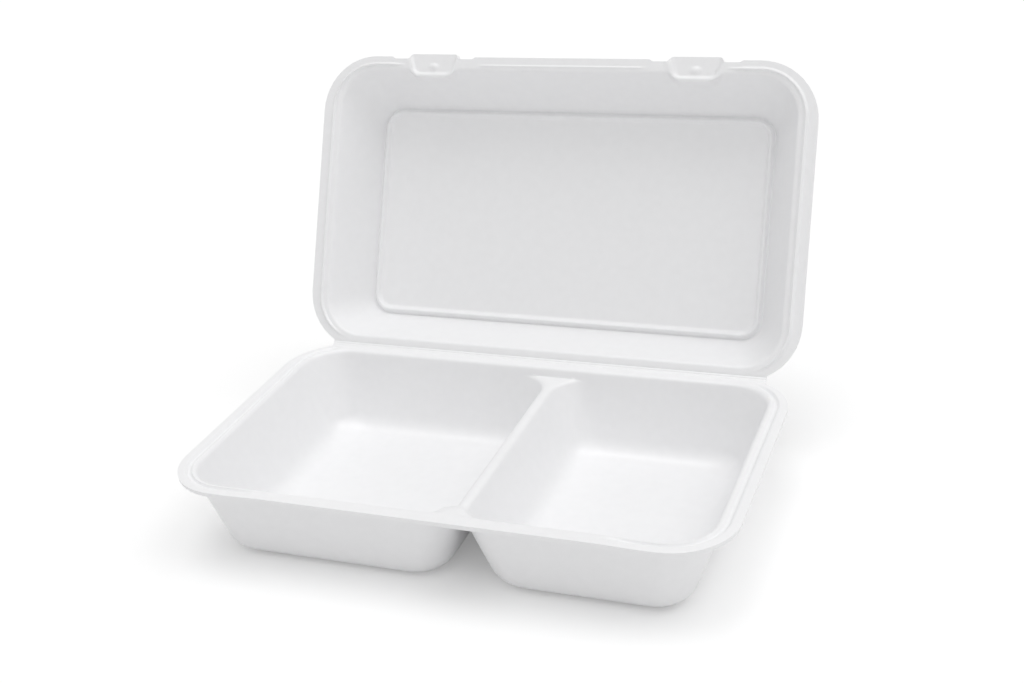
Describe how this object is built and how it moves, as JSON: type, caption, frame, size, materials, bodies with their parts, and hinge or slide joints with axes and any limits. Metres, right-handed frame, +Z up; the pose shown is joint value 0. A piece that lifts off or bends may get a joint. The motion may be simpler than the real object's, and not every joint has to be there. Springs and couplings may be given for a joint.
{
  "type": "foam clamshell container",
  "caption": "White moulded foam food box, open: a deep tray with a low divider between its compartments, and a hinged lid with closing tabs.",
  "frame": {"origin": "on the table, at the middle of the underside of the larger compartment's foot", "axes": "+X along the fold to the smaller compartment's side, +Y from the tray's front edge towards the fold, +Z up"},
  "size_m": [0.235, 0.2093, 0.1635],
  "materials": {
    "foam": "matte moulded polystyrene foam, faintly mottled"
  },
  "bodies": {
    "tray": {"tray": "foam"},
    "lid": {"lid": "foam"}
  },
  "joints": [
    {"name": "lid_hinge", "type": "hinge", "parent": "tray", "child": "lid", "pos_m": [0.0488, 0.0685, 0.0382], "axis": [-1, 0, 0], "range_deg": [-115, 65]}
  ]
}
